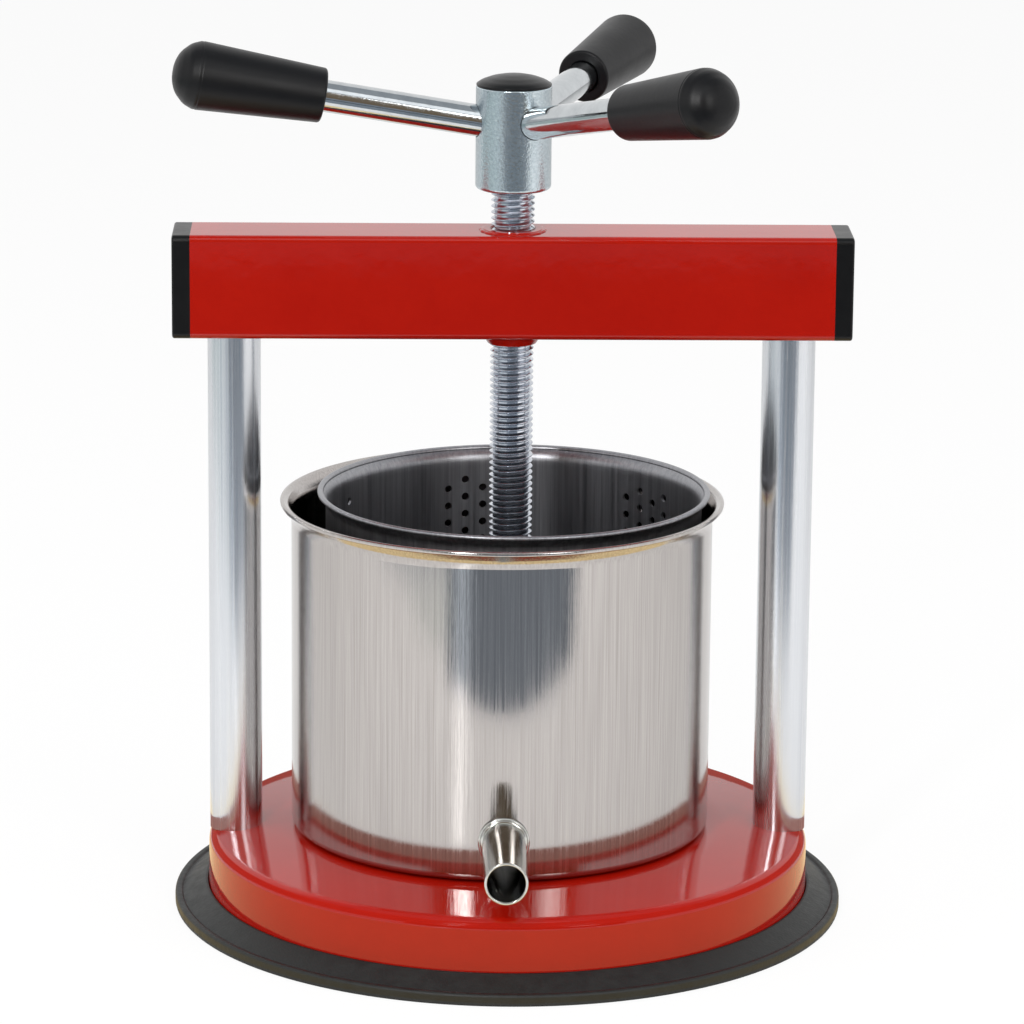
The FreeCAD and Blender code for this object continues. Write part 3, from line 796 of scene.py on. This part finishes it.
# %% Stainless steel
for slot, rough, pale, dark, grain, depth in (
        ("pot_steel", 0.06, (194, 189, 186), (166, 161, 158), (1700.0, 1700.0, 14.0), 0.16),
        ("basket_steel", 0.34, (172, 172, 176), (140, 141, 145), (900.0, 900.0, 10.0), 0.16),
        ("spout_steel", 0.13, (212, 212, 208), (184, 184, 180), (60.0, 60.0, 900.0), 0.1),
        ("plate_steel", 0.25, (196, 196, 194), (168, 168, 166), (300.0, 300.0, 300.0), 0.12)):
    steel = Finish(slot, pale, Metallic=1.0, Roughness=rough)
    brushed = steel.use(STREAKS, Grain=grain, Depth=depth)
    steel.blend(brushed.outputs["Streaks"], dark, pale)
    steel.ramp(brushed.outputs["Streaks"], rough - 0.03, rough + 0.08, "Roughness")
    steel.normal(brushed.outputs["Normal"])

# %% [markdown]
# ## Finishes on the CAD nodes that stay
# Pillars, rods, fasteners and the press foot keep their CAD shape, which is right as it is.
# They get their finish through the object's own material slot, and their meshes stay as packed.

# %% Finishes on the CAD nodes
for row in frame["record"]["subparts"]:
    wearer = frame["nodes"][row["node"]].material_slots[0]
    wearer.link = "OBJECT"
    wearer.material = FINISHES[row["material_slot"]].material
print("finishes:", ", ".join(sorted(FINISHES)))

# %% [markdown]
# ## Stage
# The press stands on a pale table in front of white. Polished steel shows whatever stands round
# it, and a pot that mirrors only white looks like plaster. So the table has cards on it, as in
# a photographer's studio, that only mirrored rays see: a dark field towards the camera with a
# bright strip along its left edge, grey fields to the left, and a grey ceiling. Two glowing rings
# do the rest, and both are painted light: a dim red band that stands on the base's edge paints
# a red reflection of the base into the pot's foot, and a warm ring on the table round the base
# paints a warm sheen on the base's side.

# %% Cards and hoops


def staged(bm, name, material):
    mesh = bpy.data.meshes.new(name)
    bm.to_mesh(mesh)
    bm.free()
    mesh.materials.append(material)
    flat = bpy.data.objects.new(name, mesh)
    scene.collection.objects.link(flat)
    return flat


def card(name, corners, material):
    # One grid cell, its corners moved to two places on one edge and two on the opposite one.
    bm = bmesh.new()
    made = bmesh.ops.create_grid(bm, x_segments=1, y_segments=1, size=0.5)["verts"]
    for vert, corner in zip(sorted(made, key=lambda v: (v.co.y, v.co.x)), corners):
        vert.co = corner
    return staged(bm, name, material)


def hoop(name, radius, level, rise, widening, material):
    # A ring of skin: an upright band where it rises, and a flat ring where it widens.
    bm = bmesh.new()
    bmesh.ops.create_circle(bm, segments=96, radius=radius)
    bmesh.ops.translate(bm, vec=(0, 0, level), verts=bm.verts)
    grown = bmesh.ops.extrude_edge_only(bm, edges=bm.edges[:])["geom"]
    outer = only(grown, bmesh.types.BMVert)
    bmesh.ops.translate(bm, vec=(0, 0, rise), verts=outer)
    bmesh.ops.scale(bm, vec=(widening, widening, 1), verts=outer)
    return staged(bm, name, material)


def mirrored_only(item, tints=False):
    # Hidden from the camera and without a shadow; one that tints also counts as soft light.
    item.visible_camera = False
    item.visible_diffuse = tints
    item.visible_shadow = False
    print(f"{item.name}: seen in mirrors only")


# %% Table
TABLE_SHARE = 0.9


def table_material():
    # Pale and matt. For the camera a share of it is plain white, which leaves a soft shadow.
    made = bpy.data.materials.new("pale_table")
    made.use_nodes = True
    tree = made.node_tree
    shader = tree.nodes["Principled BSDF"]
    shader.inputs["Base Color"].default_value = (0.82, 0.82, 0.82, 1)
    shader.inputs["Roughness"].default_value = 0.8
    shader.inputs["Specular IOR Level"].default_value = 0.1
    white = node(tree, "ShaderNodeEmission", {"Color": (1, 1, 1, 1), "Strength": 1.0})
    path = node(tree, "ShaderNodeLightPath")
    share = node(tree, "ShaderNodeMath", {0: path.outputs["Is Camera Ray"], 1: TABLE_SHARE},
                 operation="MULTIPLY")
    mixed = node(tree, "ShaderNodeMixShader", {0: share.outputs[0]})
    tree.links.new(shader.outputs[0], mixed.inputs[1])
    tree.links.new(white.outputs[0], mixed.inputs[2])
    tree.links.new(mixed.outputs[0], tree.nodes["Material Output"].inputs["Surface"])
    return made


card("table", [(-4, -4, 0), (4, -4, 0), (-4, 4, 0), (4, 4, 0)], table_material())
print("table: 8 m wide, white for the camera to", TABLE_SHARE)

# %% What the steel mirrors
CARDS = (
    ("dark_front", (0.27, 0.31, 0.36), 1.0, [
        (-0.216, -0.408, 0.001), (0.278, -0.408, 0.001),
        (-1.98, -3.4, 0.001), (3.40, -3.4, 0.001)]),
    ("dark_band", (0.06, 0.07, 0.08), 1.0, [
        (-1.1, -0.98, 0.002), (1.3, -0.98, 0.002), (-1.4, -1.30, 0.002), (1.7, -1.30, 0.002)]),
    ("grey_left", (0.74, 0.78, 0.81), 1.0, [
        (-3.4, 2.5, 0.001), (-0.312, -0.57, 0.001), (-3.4, -3.4, 0.001), (-1.98, -3.4, 0.001)]),
    ("soft_left", (0.96, 1.0, 0.98), 1.0, [
        (-0.47, -0.40, 0.001), (-0.225, -0.44, 0.001),
        (-0.50, -0.36, 0.001), (-0.312, -0.57, 0.001)]),
    ("far_left", (0.46, 0.54, 0.54), 1.0, [
        (-3.4, 1.8, 0.002), (-1.0, 0.3, 0.002), (-3.4, -3.4, 0.002), (-1.0, -1.3, 0.002)]),
    ("dark_wall", (0.19, 0.145, 0.10), 1.0, [
        (-2.8, -3.4, 0.0), (3.2, -3.4, 0.0), (-2.8, -3.4, 3.2), (3.2, -3.4, 3.2)]),
    ("near_strip", (1, 1, 1), 2.2, [
        (-0.0799, -0.20, 0.003), (-0.0649, -0.20, 0.003),
        (-0.1772, -0.408, 0.003), (-0.1392, -0.408, 0.003)]),
    ("far_strip", (0.84, 0.96, 1.08), 1.0, [
        (-0.1772, -0.408, 0.003), (-0.1392, -0.408, 0.003),
        (-0.3078, -0.70, 0.003), (-0.2393, -0.70, 0.003)]),
    ("ceiling", (0.38, 0.41, 0.44), 1.0, [
        (-2.6, -3.4, 2.7), (2.6, -3.4, 2.7), (-2.6, 1.2, 2.7), (2.6, 1.2, 2.7)]),
)
TINTING = ("dark_front", "dark_wall")


def glow(name, colour, strength=1.0):
    made = bpy.data.materials.new(name)
    made.use_nodes = True
    tree = made.node_tree
    tree.nodes.remove(tree.nodes["Principled BSDF"])
    light = node(tree, "ShaderNodeEmission", {"Color": (*colour, 1), "Strength": strength})
    tree.links.new(light.outputs[0], tree.nodes["Material Output"].inputs["Surface"])
    return made


for name, colour, strength, corners in CARDS:
    mirrored_only(card(name, corners, glow(name, colour, strength)), tints=name in TINTING)
# Painted reflection: a glowing red ring on the base's edge, seen only in mirrors, puts the base's
# red into the pot's foot.
red_reflection_glow = glow("painted_red_reflection", (0.41, 0.20, 0.17))
mirrored_only(hoop("painted_red_reflection", radius=0.1163, level=0.0262, rise=0.0063, widening=1,
                   material=red_reflection_glow))
# Painted sheen: a warm glowing ring on the table round the base, seen only in mirrors, puts a
# warm sheen on the base's side.
sheen = glow("painted_warm_sheen", (1.15, 0.92, 0.52))
mirrored_only(hoop("painted_warm_sheen", radius=0.118, level=0.0015, rise=0, widening=1.7,
                   material=sheen))

# %% [markdown]
# ## World
# The world is white where the camera looks past the press. As light on the object it is dimmer,
# so that the lamps can model its form. For mirrored rays it is nearly white again, as paper
# walls round the set would be.

# %% World
WORLD_LIGHT, WORLD_SEEN, MIRROR_EXTRA = 0.55, 1.0, 0.4
world = bpy.data.worlds.new("studio")
scene.world = world
world.use_nodes = True
sky = world.node_tree
surface = sky.nodes["Background"]
surface.inputs["Color"].default_value = (1, 1, 1, 1)
path = node(sky, "ShaderNodeLightPath")
seen = node(sky, "ShaderNodeMath", {0: path.outputs["Is Camera Ray"],
                                    1: path.outputs["Is Transmission Ray"]}, operation="MAXIMUM")
level = node(sky, "ShaderNodeMapRange", {"Value": seen.outputs[0], "To Min": WORLD_LIGHT,
                                         "To Max": WORLD_SEEN})
shine = node(sky, "ShaderNodeMath", {0: path.outputs["Is Glossy Ray"], 1: MIRROR_EXTRA,
                                     2: level.outputs[0]}, operation="MULTIPLY_ADD")
sky.links.new(shine.outputs[0], surface.inputs["Strength"])
print("world: light", WORLD_LIGHT, "seen", WORLD_SEEN)

# %% [markdown]
# ## Lamps
# Softboxes light the press from all sides. Only the key at the left, the window at the right
# and the bank above the front are mirrored as highlights; the others fill without showing.

# %% Lamps


def softbox(name, place, target, width, height, power, mirrored=True):
    lamp = bpy.data.lights.new(name, "AREA")
    lamp.shape = "RECTANGLE"
    lamp.size, lamp.size_y, lamp.energy = width, height, power
    holder = bpy.data.objects.new(name, lamp)
    scene.collection.objects.link(holder)
    holder.location = place
    aim = Vector(target) - Vector(place)
    holder.rotation_euler = aim.to_track_quat("-Z", "Y").to_euler()
    holder.visible_glossy = mirrored
    print(f"{name}: {power} W")


softbox("key_left", (-0.67, -1.70, 1.10), (0, 0, 0.12), 0.16, 1.0, 16)
softbox("window_right", (0.88, -1.70, 0.95), (0, 0, 0.12), 0.42, 1.0, 8)
softbox("fill_right", (1.8, -0.8, 1.0), (0, 0, 0.15), 1.0, 1.4, 12, mirrored=False)
softbox("fill_left", (-1.9, -0.5, 1.0), (0, 0, 0.15), 0.9, 1.4, 12, mirrored=False)
softbox("top", (0, 0.1, 1.9), (0, 0, 0.1), 1.6, 1.6, 13, mirrored=False)
softbox("front_top", (0, -1.25, 1.95), (0, 0, 0.2), 2.2, 0.9, 6)

# %% [markdown]
# ## Camera
# A long lens looks down at the press from the front, a little from the left, and is rolled by
# half a degree. Place, lens and roll come from a fit to the outlines of base, pot and beam.

# %% Camera
PLACE, TARGET = Vector((-0.0419, -1.8635, 0.6191)), Vector((0.0006, 0, 0.1533))
LENS, SENSOR, ROLL = 177.7, 36, 0.5
lens = bpy.data.cameras.new("view")
lens.lens, lens.sensor_width = LENS, SENSOR
camera = bpy.data.objects.new("view", lens)
scene.collection.objects.link(camera)
camera.location = PLACE
aim = (TARGET - camera.location).to_track_quat("-Z", "Y")
camera.rotation_euler = (aim @ Quaternion((0, 0, 1), math.radians(ROLL))).to_euler()
bpy.context.scene.camera = camera
scene.view_settings.view_transform = "Standard"
print("camera:", LENS, "mm lens at", [round(part, 3) for part in PLACE])
